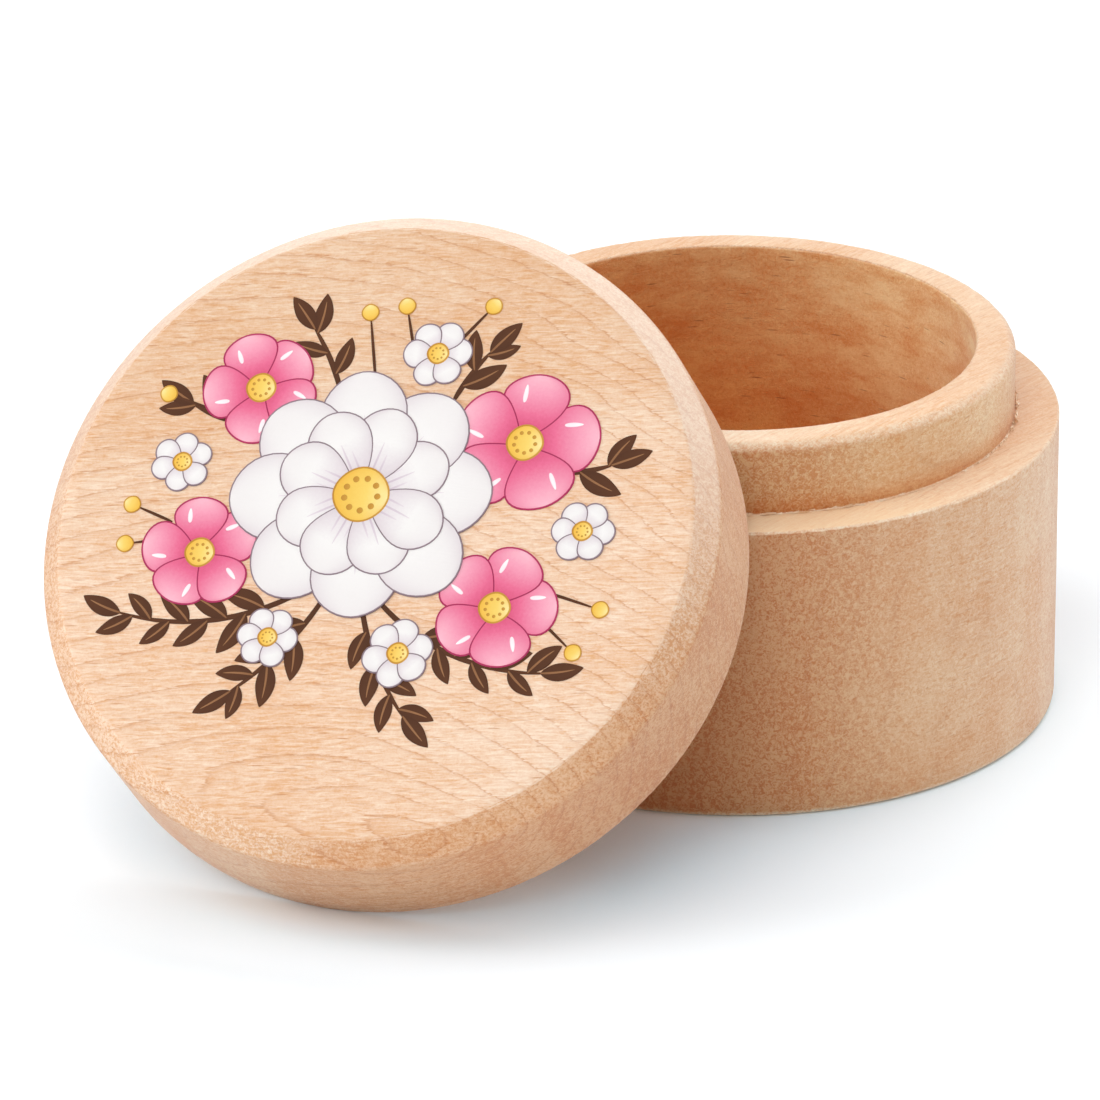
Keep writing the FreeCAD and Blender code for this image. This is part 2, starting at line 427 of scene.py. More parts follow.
# %% [markdown]
# A tree grows a new ring each year round its middle, the pith. A board shows where its surface cuts those
# rings, so the pattern follows from how far each point is from the pith. The pith is bowed, as a trunk is,
# and dives a little through the board, which closes the rings into the pointed arches at the lid's lower
# left. The line at the end of a year is thin and ragged, because it runs from fibre to fibre, and it
# fades out and comes back, so a slow noise takes some of it away.

# %% Growth rings
RING_WIDTH = 1.7
RING_RAGGED = 0.65
RING_BEND = 2.4
RING_SHADES = [(0.0, 0.3), (0.03, 0.0), (0.70, 0.0), (0.92, 0.2), (0.96, 1.0), (0.98, 0.85), (1.0, 0.3)]
FADE_SIZE = (5.0, 1.6, 1.6)
FADE_RANGE = (0.32, 0.54, 0.15)


def growth_rings(wood, block, fibre, cloud, board):
    """How dark a point is for being near the end of a year's growth, from 0 to 1."""
    bent = add(wood, "VectorMath", {"operation": "MULTIPLY_ADD", 1: [RING_BEND] * 3},
               {0: cloud.outputs["Color"], 2: block})
    axes = add(wood, "SeparateXYZ", {}, {0: bent})
    off_middle = calc(wood, "SUBTRACT", axes.outputs["X"], board["bow_middle"])
    squared = calc(wood, "MULTIPLY", off_middle, off_middle)
    bowed = calc(wood, "MULTIPLY_ADD", squared, 0.5 / board["bow_radius"], axes.outputs["Y"])
    across = calc(wood, "SUBTRACT", bowed, board["across"])
    diving = calc(wood, "MULTIPLY_ADD", axes.outputs["X"], board["dive"], axes.outputs["Z"])
    depth = calc(wood, "ADD", diving, board["depth"])
    spoke = add(wood, "CombineXYZ", {}, {"X": across, "Y": depth})
    from_pith = add(wood, "VectorMath", {"operation": "LENGTH"}, {0: spoke})
    ragged = calc(wood, "MULTIPLY_ADD", fibre, RING_RAGGED, from_pith.outputs["Value"])
    season = calc(wood, "FRACT", calc(wood, "DIVIDE", ragged, RING_WIDTH))
    shade = add(wood, "ValToRGB", {"stops": [(p, (v, v, v, 1)) for p, v in RING_SHADES]}, {"Fac": season})
    fade = noise_at(wood, block, FADE_SIZE, 2.0, 0.6)
    return calc(wood, "MULTIPLY", shade, ranged(wood, fade, *FADE_RANGE))


print("rings", RING_WIDTH, "mm apart")

# %% [markdown]
# The flecks are the wood's rays, thin ribbons that run out from the pith, seen where the surface cuts
# them. A Voronoi texture scatters one point in each cell of a grid, and a cell is a little longer and wider
# than a fleck. Only some cells get one, and more of them where the wood is busy, so flecks come in bands.

# %% Ray flecks
FLECK_SIZE = (2.1, 0.22, 0.22)
FLECK_EDGE = 0.36
FLECK_HEART = 0.1
FLECK_CHANCE = (0.38, 0.66, 0.04, 0.85)
BUSY_SIZE = (12.0, 3.5, 3.5)


def ray_flecks(wood, spot):
    """How much a point belongs to a dark fleck, from 0 to 1."""
    cells = add(wood, "TexVoronoi", {"Scale": 1.0}, {"Vector": stretched(wood, spot, FLECK_SIZE)})
    lot = add(wood, "SeparateColor", {}, {0: cells.outputs["Color"]})
    busy = noise_at(wood, spot, BUSY_SIZE, 1.0)
    chosen = calc(wood, "LESS_THAN", lot.outputs["Red"], ranged(wood, busy, *FLECK_CHANCE))
    core = ranged(wood, cells.outputs["Distance"], FLECK_EDGE, FLECK_HEART, smooth=True)
    return calc(wood, "MULTIPLY", core, calc(wood, "MULTIPLY", chosen, lot.outputs["Green"]))


print("flecks up to", round(2 * FLECK_EDGE * FLECK_SIZE[0], 1), "mm long")

# %% [markdown]
# The bored wall has dashes of another kind. The boring tool dragged broken fibres round with it, so these
# dashes lie level, round the wall. The same flecks serve, on a point that is unrolled from the wall: how
# far round it lies and how high. Only the strongest are kept.

# %% Dashes round a bored wall
DASHES_KEPT = (0.3, 0.9)


def bore_dashes(wood, where, radius, wall, bored):
    """How much a point of a bored wall belongs to a dark dash, from 0 to 1."""
    axes = add(wood, "SeparateXYZ", {}, {0: where.outputs["Object"]})
    angle = calc(wood, "ARCTAN2", axes.outputs["Y"], axes.outputs["X"])
    round_it = calc(wood, "MULTIPLY", angle, radius)
    height = calc(wood, "DIVIDE", axes.outputs["Z"], MM)
    unrolled = add(wood, "CombineXYZ", {}, {"X": round_it, "Y": height})
    strong = ranged(wood, ray_flecks(wood, unrolled), *DASHES_KEPT)
    return calc(wood, "MULTIPLY", strong, calc(wood, "MULTIPLY", wall, bored))


# %% [markdown]
# How the wood looks also depends on how it was cut. A wall shows other fibres than the flat top. A bevel or
# a rounded edge gets tints of its own: painted highlights and painted shade, with some paleness from
# sanding. Open fibre ends drink up light and look darker and redder. The bored hollow gets a deeper tint,
# painted shade for a hollow that little light reaches. All of this can be read from the normal and from
# what the mesh remembers.

# %% How the wood was cut
WALL_RANGE = (0.7, 0.1)
LEANING_RANGE = (0.98, 0.8)
END_RANGE = (0.25, 1.0)
END_IN_BORE = 0.25


def cuts(wood, where, board):
    """How much a point is wall, leans at all, is cut across the fibres and was bored, from 0 to 1."""
    normal = add(wood, "SeparateXYZ", {}, {0: where.outputs["Normal"]})
    upright = calc(wood, "ABSOLUTE", normal.outputs["Z"])
    wall = ranged(wood, upright, *WALL_RANGE, smooth=True)
    leaning = ranged(wood, upright, *LEANING_RANGE, smooth=True)
    bored = add(wood, "Attribute", {"attribute_name": "bored"}).outputs["Fac"]
    fibre_way = (math.cos(board["grain"]), math.sin(board["grain"]), 0)
    facing = add(wood, "VectorMath", {"operation": "DOT_PRODUCT", 1: fibre_way}, {0: where.outputs["Normal"]})
    ends = ranged(wood, calc(wood, "ABSOLUTE", facing.outputs["Value"]), *END_RANGE, smooth=True)
    end = calc(wood, "MULTIPLY", ends, ranged(wood, bored, 0.0, 1.0, 1.0, END_IN_BORE))
    return wall, leaning, end, bored


# %% [markdown]
# A drift is a direction in the blank and two marks along it, with one tint before the first mark and
# another after the second. Flat faces, walls and the hollow each get one, and more drifts lie over single
# parts. Most are painted light and shade: the cup's shoulder and rim are painted lighter at the front, its
# wall is painted darker on the left and low down, where the lid shades it, with a painted sheen on the right,
# and its hollow has painted shade, deepest low down and on the left. The lid's side and bevel have painted
# shade at the lower right and a painted highlight along the top, and its face is a little darker towards
# the top. The cup's top edges are paler, partly from sanding and partly a painted sheen, and the floor of
# its hollow is paler flat-grain wood.

# %% Drifts of tone and painted light


def drift(wood, where, course):
    """How far a point lies along a direction in the blank, from 0 at the first mark to 1 at the second."""
    direction, first, second = course
    reach = add(wood, "VectorMath", {"operation": "DOT_PRODUCT", 1: direction}, {0: where.outputs["Object"]})
    return ranged(wood, reach.outputs["Value"], first * MM, second * MM, smooth=True)


def blend(wood, share, under, over, how="MIX"):
    """One colour laid over another. A hex code stands for a plain colour and a number for an even share."""
    settings, links = {"data_type": "RGBA", "blend_type": how}, {}
    for socket, value in ((0, share), (6, under), (7, over)):
        if isinstance(value, str):
            settings[socket] = linear(value)
        elif isinstance(value, float):
            settings[socket] = value
        else:
            links[socket] = value
    return add(wood, "Mix", settings, links).outputs[2]


def tint_of(wood, where, wall, bored, board, tones):
    """The tint that the drifts, mostly painted light and shade, give a flat face, a wall or the hollow."""
    flat_tint, wall_tint, bored_tint = [
        blend(wood, drift(wood, where, board[cut]), *tones[cut]) for cut in ("flat", "wall", "bored")]
    outside_tint = blend(wood, wall, flat_tint, wall_tint)
    return blend(wood, bored, outside_tint, bored_tint)


def sanded_parts(wood, where, masks, colour, sandings):
    """The colour with each tint of a blank laid on it in turn: painted highlights, painted shade, paler
    sanded wood.
    """
    for mask, course, share, tint, how in sandings:
        sanded = calc(wood, "MULTIPLY", masks[mask], drift(wood, where, course))
        colour = blend(wood, calc(wood, "MULTIPLY", sanded, share), colour, tint, how)
    return colour


# %% [markdown]
# The spigot was cut with a gouge that came down to the shoulder and stopped there. The spigot has a tint of
# its own in place of the wall's drift, which deepens and turns more orange towards its foot, in the corner
# with the shoulder.

# %% Tint of the spigot
FOOT_TINT_HEIGHT = 1.8


def spigot_tint(wood, where, wall, bored, tint, shoulder, tones):
    """The tint of a blank, with the spigot's own tint put in above the shoulder."""
    height = add(wood, "SeparateXYZ", {}, {0: where.outputs["Object"]}).outputs["Z"]
    above = calc(wood, "GREATER_THAN", height, shoulder * MM)
    spigot = calc(wood, "MULTIPLY", above, calc(wood, "SUBTRACT", wall, bored))
    near_foot = ranged(wood, height, (shoulder + FOOT_TINT_HEIGHT) * MM, shoulder * MM, smooth=True)
    return blend(wood, spigot, tint, blend(wood, near_foot, *tones["spigot"]))


# %% [markdown]
# The tone adds up fine silk, slow clouds, upright bands in the walls, flat blotches in the hollow, and the
# nap, which is the fuzz of loose fibre ends that sanding leaves. Walls and edges have more of it than flat
# faces, and most of all where they cut across the fibres. Real nap is finer than a pixel, so it is drawn
# about three times as coarse as it is, to show at all. A noise keeps mostly to the middle of its range, and
# that part is stretched to the whole share.

# %% Tone of the wood
NAP_SIZE = (0.28, 0.28, 0.28)
NAP_IN_BORE = 0.35
BAND_SIZE = (4.0, 4.0, 50.0)
BLOTCH_SIZE = (4.5, 4.5, 1.6)
NOISE_RANGE = (0.28, 0.72)
MIDDLE_TONE = 0.5


def tone_of(wood, spot, fibre, cloud, wall, leaning, end, bored, shares):
    """How pale the wood is at a point, about 0 to 1, and the nap."""
    nap = noise_at(wood, spot, NAP_SIZE, 4.0, 0.65, 1.2)
    band = noise_at(wood, spot, BAND_SIZE, 2.0)
    blotch = noise_at(wood, spot, BLOTCH_SIZE, 6.0, 0.7, 0.2)
    wall_fuzz = ranged(wood, end, 0.0, 1.0, shares["wall_nap"], shares["end_nap"])
    fuzz = add(wood, "MapRange", {"To Min": shares["flat_nap"]}, {"Value": leaning, "To Max": wall_fuzz})
    napped = calc(wood, "MULTIPLY", fuzz, ranged(wood, bored, 0.0, 1.0, 1.0, NAP_IN_BORE))
    parts = [(fibre, shares["silk"], None), (cloud, shares["cloud"], None), (nap, 1.0, napped),
             (band, shares["band"], wall), (blotch, shares["blotch"], bored)]
    tone = MIDDLE_TONE
    for texture, share, mask in parts:
        swing = ranged(wood, texture, *NOISE_RANGE, -share / 2, share / 2)
        if mask:
            swing = calc(wood, "MULTIPLY", swing, mask)
        tone = calc(wood, "ADD", swing, tone)
    return tone, nap


print("nap", NAP_SIZE[0], "mm, bands", BAND_SIZE[0], "mm")

# %% [markdown]
# Now the wood can be mixed. It is unfinished, so its roughness is high, and its sheen is what loose fibre
# ends give a sanded surface at glancing angles. Silky fibres shine a little more than the gaps between.

# %% Beech, turned and sanded
SEED_STEP = (37.0, 19.0, 53.0)
RINGS_IN_BORE = 0.15
PIT_DEPTH = 0.15
RELIEF_HEIGHT = 0.04
RELIEF_FLAT = 0.45
RELIEF_LEANING = 0.9
SILK_ROUGHNESS = (0.3, 0.7, 0.66, 0.54)


def beech(name, board, tones, shares):
    """Beech as one solid block, with its fibres at an angle about the turning axis."""
    wood = new_material(name)
    where = add(wood, "TexCoord")
    block = block_of(wood, where, board)
    away = [board["seed"] * step for step in SEED_STEP]
    spot = add(wood, "VectorMath", {"operation": "ADD", 1: away}, {0: block})
    fibre, cloud = fibres(wood, spot)
    wall, leaning, end, bored = cuts(wood, where, board)
    edge = calc(wood, "SUBTRACT", leaning, wall)
    level = calc(wood, "SUBTRACT", 1.0, leaning)
    floor = calc(wood, "MULTIPLY", level, bored)
    flat = calc(wood, "SUBTRACT", level, floor)
    tone, nap = tone_of(wood, spot, fibre, cloud, wall, leaning, end, bored, shares)
    fleck = ray_flecks(wood, spot)
    dash = bore_dashes(wood, where, board["bore"], wall, bored)
    rings = growth_rings(wood, block, fibre, cloud, board)
    ring = calc(wood, "MULTIPLY", rings, ranged(wood, bored, 0.0, 1.0, 1.0, RINGS_IN_BORE))

    colour = blend(wood, tone, tones["deep"], tones["pale"])
    for mark, kind in ((ring, "ring"), (fleck, "fleck"), (dash, "dash")):
        colour = blend(wood, calc(wood, "MULTIPLY", mark, shares[kind]), colour, tones[kind])
    # the drifts' tints, mostly painted light and shade
    tint = tint_of(wood, where, wall, bored, board, tones)
    if "shoulder" in board:
        tint = spigot_tint(wood, where, wall, bored, tint, board["shoulder"], tones)
    colour = blend(wood, 1.0, colour, tint, "MULTIPLY")
    colour = blend(wood, end, colour, tones["end"], "MULTIPLY")
    # painted highlights and shade on edges and flats, with paler sanded and flat-grain wood
    masks = {"edge": edge, "flat": flat, "floor": floor}
    colour = sanded_parts(wood, where, masks, colour, board["sanded"])

    pits = calc(wood, "MULTIPLY_ADD", fleck, -PIT_DEPTH, fibre)
    relief = calc(wood, "MULTIPLY_ADD", nap, shares["nap_relief"], pits)
    fuzzy = ranged(wood, leaning, 0.0, 1.0, RELIEF_FLAT, RELIEF_LEANING)
    bump = add(wood, "Bump", {"Distance": RELIEF_HEIGHT * MM}, {"Strength": fuzzy, "Height": relief})
    rough = ranged(wood, fibre, *SILK_ROUGHNESS)
    surface(wood, {"IOR": 1.5, "Sheen Weight": 0.3, "Sheen Roughness": 0.4},
            {"Base Color": colour, "Roughness": rough, "Normal": bump})
    print(name, len(wood.node_tree.nodes), "nodes")
    return wood


# %% [markdown]
# The two blanks came from different boards. The lid's board was sawn flat, so its face shows broad arches.
# The cup's board was sawn towards the pith, so its rings stand nearly upright in the wall as faint bands.

# %% Beech for the lid and the cup
LID_GRAIN = math.radians(9)
CUP_GRAIN = math.radians(69)

lid_board = {"face": LID_HEIGHT, "grain": LID_GRAIN, "seed": 1.0, "bow_middle": -12.0, "bow_radius": 50.0,
             "across": -19.0, "dive": -0.25, "depth": 0.75, "bore": RECESS_RADIUS,
             # flats: darker towards the top; wall: painted shade on the side at the lower right
             "flat": ((-0.3, 0.95, 0), -5, 20), "wall": ((-0.5, 0.87, 0), -25, -17),
             "bored": ((0, 1, 0), -24, 24),
             # edges: a painted highlight along the top of the bevel, painted shade at its lower right
             "sanded": [("edge", ((0, 1, 0), -8, 15), 0.45, "#FBEBDD", "MIX"),
                        ("edge", ((0.6, -0.8, 0), 17, 23), 0.9, "#F4DCC2", "MULTIPLY")]}
# pairs of tints at the drifts' ends: face darker at the top, painted shade on the side
lid_tones = {"pale": "#F4DCC5", "deep": "#E0A877", "ring": "#C87E40", "fleck": "#C27A41", "dash": "#8A4A1E",
             "flat": ("#FFFFFF", "#F5F0E8"), "wall": ("#ECCFB0", "#F6ECDE"), "bored": ("#F0D8B8", "#F2DDC2"),
             "end": "#E6D1B9"}
lid_shares = {"silk": 0.9, "flat_nap": 0.4, "wall_nap": 1.4, "end_nap": 2.5, "nap_relief": 1.0, "cloud": 0.4,
              "band": 0.7, "blotch": 0.4, "ring": 0.58, "fleck": 0.6, "dash": 0.4}
lid.data.materials.append(beech("beech_turned_sanded_lid", lid_board, lid_tones, lid_shares))

cup_board = {"face": RIM_HEIGHT, "grain": CUP_GRAIN, "seed": 2.0, "bow_middle": 0.0, "bow_radius": 200.0,
             "across": 70.0, "dive": 0.05, "depth": 10.0, "bore": CAVITY_RADIUS, "shoulder": SHOULDER_HEIGHT,
             # flats: painted lighter at the front; wall: painted shade left and low, painted sheen right
             "flat": ((-0.19, -0.97, 0), -10, 14), "wall": ((0.88, 0.31, 0.36), 5, 30),
             # hollow: painted shade, deepest low down and on the left
             "bored": ((0.54, 0.19, 0.82), 11, 31),
             # top edges paler, part sanding and part painted sheen; shoulder front: painted warm light
             "sanded": [("edge", ((0, 0, 1), 0, 20), 0.12, "#FBEBD8", "MIX"),
                        ("flat", ((0, -0.5, -0.866), -15, -10.5), 0.5, "#FFDEB0", "MIX"),
                        ("floor", ((0, 0, -1), -10, -5), 0.4, "#F2D0A0", "MIX")]}
# pairs of tints at the drifts' ends: painted light and shade; spigot pair deeper at its foot
cup_tones = {"pale": "#FBEDD4", "deep": "#E5AF7C", "ring": "#CC8448", "fleck": "#C27A41", "dash": "#8A4A1E",
             "flat": ("#EFE3D9", "#FFFFFF"), "wall": ("#E4C6AB", "#EBDED5"), "bored": ("#E2AA6C", "#F5E6C5"),
             "spigot": ("#ECDCC6", "#E8BF94"), "end": "#D6B28A"}
cup_shares = {"silk": 0.5, "flat_nap": 0.44, "wall_nap": 0.95, "end_nap": 3.6, "nap_relief": 1.7,
              "cloud": 0.4, "band": 0.38, "blotch": 1.25, "ring": 0.25, "fleck": 0.4, "dash": 0.6}
cup.data.materials.append(beech("beech_turned_sanded_cup", cup_board, cup_tones, cup_shares))

# %% [markdown]
# Where the spigot meets the shoulder, the turner's gouge stopped, and it left a ragged line of torn fibres
# in the corner. Each is a tiny three-sided sliver that lies in the corner and leans out a little. They are
# longest where the gouge met the fibres end on. Hair particles could do this too, but a few hundred slivers
# are soon placed.

# %% Torn fibres in the corner
SLIVERS = 700
SLIVER_LENGTH = (0.35, 1.1)
SLIVER_THICKNESS = (0.07, 0.15)
SLIVER_STAND = 1.4
FOOT_OUT = (0.0, 0.2)
FOOT_UP = (-0.02, 0.12)
LEAN_OUT = (0.0, 0.5)
LEAN_UP = (0.0, 0.3)
LEAST_TORN = 0.35

random.seed(11)
sliver_points, sliver_faces = [], []
for _ in range(SLIVERS):
    a = random.uniform(0, 2 * math.pi)
    torn = LEAST_TORN + (1 - LEAST_TORN) * abs(math.cos(a - CUP_GRAIN))
    out = Vector((math.cos(a), math.sin(a), 0))
    round_it = Vector((-math.sin(a), math.cos(a), 0)) * random.choice((-1, 1))
    foot = out * (SPIGOT_RADIUS + random.uniform(*FOOT_OUT))
    foot.z = SHOULDER_HEIGHT + random.uniform(*FOOT_UP)
    lean = round_it + out * random.uniform(*LEAN_OUT)
    lean.z += random.uniform(*LEAN_UP)
    tip = foot + lean.normalized() * random.uniform(*SLIVER_LENGTH) * torn
    thick = random.uniform(*SLIVER_THICKNESS) * torn
    top = foot + Vector((0, 0, thick * SLIVER_STAND))
    n = len(sliver_points)
    sliver_points += [p * MM for p in (foot + out * thick, foot - out * thick, top, tip)]
    sliver_faces += [(n, n + 1, n + 2), (n, n + 3, n + 1), (n + 1, n + 3, n + 2), (n + 2, n + 3, n)]
sliver_mesh = bpy.data.meshes.new("torn_fibres")
sliver_mesh.from_pydata(sliver_points, [], sliver_faces)
slivers = placed("torn_fibres", sliver_mesh)
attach(slivers, "base")
print(SLIVERS, "torn fibres")

# %% [markdown]
# Torn fibres are the same beech, dry and a little paler than the wood they were torn from. Their tone only
# changes slowly, from one group of slivers to the next.

# %% Torn beech fibre
TORN_PATCH = [1.5 * MM] * 3
TORN_TONES = [(0.35, "#D9AE80"), (0.65, "#F8E3C9")]

torn_fibre = new_material("beech_torn_fibre")
torn_where = add(torn_fibre, "TexCoord").outputs["Object"]
torn_colour = ramp(torn_fibre, TORN_TONES, noise_at(torn_fibre, torn_where, TORN_PATCH, 2.0))
surface(torn_fibre, {"Roughness": 0.7, "IOR": 1.5}, {"Base Color": torn_colour})
sliver_mesh.materials.append(torn_fibre)
print("torn fibre in patches of", round(TORN_PATCH[0] / MM, 1), "mm")

# %% [markdown]
# ## The printed posy
# The lid carries a print in bright ink. A flat-bed printer lays down drops of ink that ultraviolet light
# hardens at once, so each colour stays on the wood as a film a few hundredths of a millimetre thick, and
# its edge is crisp. A texture could paint the posy, but its edges would blur in a close view. Here each
# petal, leaf and stem is a real film that follows the gently wavy wood, and its top lies a hair above the
# film before it, as printed layers do. All of them grow along lines that bend evenly.

# %% A bent line
STRAIGHT = 1e-4


def toward(heading):
    """One millimetre in a heading."""
    return Vector((math.cos(heading), math.sin(heading)))


def way(start, heading, length, bend, t):
    """The point and the heading at a part of a line that bends evenly."""
    turn = heading + bend * t
    if abs(bend) < STRAIGHT:
        return start + toward(heading) * length * t, turn
    swing = Vector((math.sin(turn) - math.sin(heading), math.cos(heading) - math.cos(turn)))
    return start + swing * (length / bend), turn


# %% [markdown]
# One shape serves for every motif: a blade along a bent line. How blunt its ends are and where it is
# widest make it a petal, a leaf, a stem or a round dot.

# %% One film of ink
STATIONS = 20
LANES = 6
INK_FIRST = 0.02
INK_STEP = 0.0012
INK_ROOT = 0.03


def film(sheet, ink, start, heading, length, width, widest=0.5, blunt=0.5, bend=0.0):
    """Adds one film of ink to a sheet, closed all round, with its root just inside the wood."""
    level = INK_FIRST + INK_STEP * sheet["layer"]
    sheet["films"] += 1
    power = math.log(0.5) / math.log(widest)
    rows = []
    for i in range(STATIONS + 1):
        t = (1 - math.cos(math.pi * i / STATIONS)) / 2
        reach = width / 2 * abs(math.sin(math.pi * t ** power)) ** blunt
        middle, turn = way(start, heading, length, bend, t)
        side = Vector((-math.sin(turn), math.cos(turn)))
        lanes = [0.0] if i in (0, STATIONS) else [2 * j / LANES - 1 for j in range(LANES + 1)]
        row = []
        for lane in lanes:
            spot = middle + side * reach * lane
            wood_top = LID_HEIGHT + wave(Vector((spot.x, spot.y, LID_HEIGHT)))
            row.append(len(sheet["points"]))
            sheet["points"] += [(spot.x * MM, spot.y * MM, (wood_top + level) * MM),
                                (spot.x * MM, spot.y * MM, (wood_top - INK_ROOT) * MM)]
            sheet["along"] += [t, t]
            sheet["across"] += [abs(lane), abs(lane)]
        rows.append(row)
    faces = []
    for low, high in zip(rows, rows[1:]):
        for j in range(LANES):
            a, b = low[min(j, len(low) - 1)], low[min(j + 1, len(low) - 1)]
            c, d = high[min(j + 1, len(high) - 1)], high[min(j, len(high) - 1)]
            top = [a, d, c, b]
            top = [p for k, p in enumerate(top) if p != top[k - 1]]
            faces += [top, [p + 1 for p in reversed(top)]]
        faces += [[low[0], low[0] + 1, high[0] + 1, high[0]], [low[-1], high[-1], high[-1] + 1, low[-1] + 1]]
    sheet["faces"] += faces
    sheet["inks"] += [ink] * len(faces)


print("a film has", (STATIONS - 1) * (LANES + 1) + 2, "points on top")

# %% [markdown]
# In a print of this style each motif is drawn round with a thin darker line. The line is the same blade, a
# little longer and wider, laid down first. A sheet of films becomes one piece that rides on the lid. Each
# sheet starts at a layer of its own, above the sheets that it covers, and motifs that lie side by side on
# one sheet start at the same layer, so that the print stays thin.

# %% Outlined films and finished sheets


def new_sheet(first):
    """An empty sheet of films that starts at a layer of the print."""
    return {"points": [], "faces": [], "inks": [], "along": [], "across": [], "films": 0, "layer": first}


def outlined(sheet, ink, line_ink, line, start, heading, length, width, widest=0.5, blunt=0.5, bend=0.0):
    """A film with a thin line of another ink round it, two layers in all."""
    back = toward(heading) * line
    film(sheet, line_ink, start - back, heading, length + 2 * line, width + 2 * line, widest, blunt, bend)
    sheet["layer"] += 1
    film(sheet, ink, start, heading, length, width, widest, blunt, bend)
    sheet["layer"] += 1


def printed(name, sheet, inks):
    """Turns a sheet of films into one piece, printed on the lid."""
    order = sorted(set(sheet["inks"]))
    mesh = bpy.data.meshes.new(name)
    mesh.from_pydata(sheet["points"], [], sheet["faces"])
    mesh.polygons.foreach_set("material_index", [order.index(ink) for ink in sheet["inks"]])
    for channel in ("along", "across"):
        mesh.attributes.new(channel, "FLOAT", "POINT").data.foreach_set("value", sheet[channel])
    for ink in order:
        mesh.materials.append(inks[ink])
    piece = placed(name, mesh)
    piece.matrix_world = lid_place
    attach(piece, "lid")
    print(name, sheet["films"], "films,", len(sheet["faces"]), "faces")


# %% [markdown]
# The inks are acrylic, cured hard by light before the drops can run together, so they are satin and not
# glossy. A printer makes soft shading out of dots too fine to see. Each ink here shades along the blade,
# from root to tip, and towards its rim. The dots are drawn as a faint grain, several times coarser than
# real ones, which are about 0.04 mm, and the wood's fibres show through as a slight unevenness.

# %% Ultraviolet-cured inks
INK_GRAIN = [0.2 * MM] * 3
INK_FIBRE = (2.6 * MM, 0.2 * MM, math.inf)
GRAIN_SHIFT = 0.16
RIM_SHARPNESS = 3.0
INK_RELIEF = 0.02
INK_ROUGHNESS = (0.48, 0.6)


def ink(name, stops, rim, rim_share):
    """A cured printing ink that shades along its blade and towards its rim."""
    colour = new_material(name)
    along = add(colour, "Attribute", {"attribute_name": "along"}).outputs["Fac"]
    across = add(colour, "Attribute", {"attribute_name": "across"}).outputs["Fac"]
    where = add(colour, "TexCoord").outputs["Object"]
    grain = noise_at(colour, where, INK_GRAIN, 2.0)
    shifted = calc(colour, "MULTIPLY_ADD", grain, GRAIN_SHIFT, -GRAIN_SHIFT / 2)
    shade = ramp(colour, stops, calc(colour, "ADD", along, shifted))
    near_rim = calc(colour, "POWER", across, RIM_SHARPNESS)
    mixed = blend(colour, calc(colour, "MULTIPLY", near_rim, rim_share), shade, rim)
    bump = add(colour, "Bump", {"Strength": 0.25, "Distance": INK_RELIEF * MM},
               {"Height": noise_at(colour, where, INK_FIBRE, 2.0)})
    rough = ranged(colour, grain, 0.0, 1.0, *INK_ROUGHNESS)
    surface(colour, {"IOR": 1.49, "Specular IOR Level": 0.2},
            {"Base Color": mixed, "Roughness": rough, "Normal": bump})
    return colour


# stops along the blade, the colour of its rim and the rim's share
ink_rows = {
    "white": ([(0.0, "#CBBCC5"), (0.3, "#E2D9DC"), (0.6, "#EFECEA"), (1.0, "#E9E4E3")], "#D6CACF", 0.7),
    "pink": ([(0.0, "#CE3A69"), (0.35, "#E56C91"), (0.7, "#F09BB3"), (1.0, "#F4B7C6")], "#E0638A", 0.6),
    "mauve_line": ([(0.0, "#7E6A73"), (1.0, "#8E7B83")], "#7E6A73", 0.3),
    "rose_line": ([(0.0, "#9C234C"), (1.0, "#B3305D")], "#9C234C", 0.3),
    "yellow": ([(0.0, "#EBB743"), (0.6, "#F2D06A"), (1.0, "#F5E09A")], "#E7AF3D", 0.5),
    "gold_line": ([(0.0, "#BC842D"), (1.0, "#CD993E")], "#BC842D", 0.3),
    "brown": ([(0.0, "#4E2A12"), (1.0, "#5A3218")], "#482510", 0.4),
    "pale_brown": ([(0.0, "#875A38"), (1.0, "#9E6F48")], "#875A38", 0.3),
    "lilac": ([(0.0, "#C3AFBE"), (1.0, "#E3D9DD")], "#DCD0D6", 0.3),
    "shine": ([(0.0, "#F7E4E9"), (1.0, "#FBF6F7")], "#F3C9D4", 0.5),
}
inks = {name: ink("cured_ink_" + name, *row) for name, row in ink_rows.items()}
print(len(inks), "inks")

# %% [markdown]
# Brown sprigs come first, because the blossoms lie over their stems. Each is a thin tapered stem with
# leaves to its left and right in turn, and one at its end. A paler line down each leaf is its midrib.

# %% Leafy sprigs
LEAF_LENGTH = 3.7
LEAF_WIDTH = 1.6
LEAF_ANGLE = (0.75, 0.95)
LEAF_SIZE = (0.85, 1.05)
LEAF_SHRINK = 0.2
LEAF_BEND = 0.35
LEAVES_FROM = 0.28
LEAVES_SPAN = 0.62
END_LEAF_PLACE = 0.96
END_LEAF_SIZE = 0.85
END_LEAF_BEND = 0.3
MIDRIB_SHARE = 0.8
MIDRIB_WIDTH = 0.16
STEM_WIDTH = 0.42
SPRIG_LAYER = 0
SPRIG_STEP = 0.5


def leaf(sheet, start, heading, size, bend):
    """A leaf with its midrib."""
    length = LEAF_LENGTH * size
    film(sheet, "brown", start, heading, length, LEAF_WIDTH * size, widest=0.45, blunt=0.8, bend=bend)
    sheet["layer"] += 1
    film(sheet, "pale_brown", start, heading, length * MIDRIB_SHARE, MIDRIB_WIDTH, widest=0.3,
         bend=bend * MIDRIB_SHARE)
    sheet["layer"] += 1


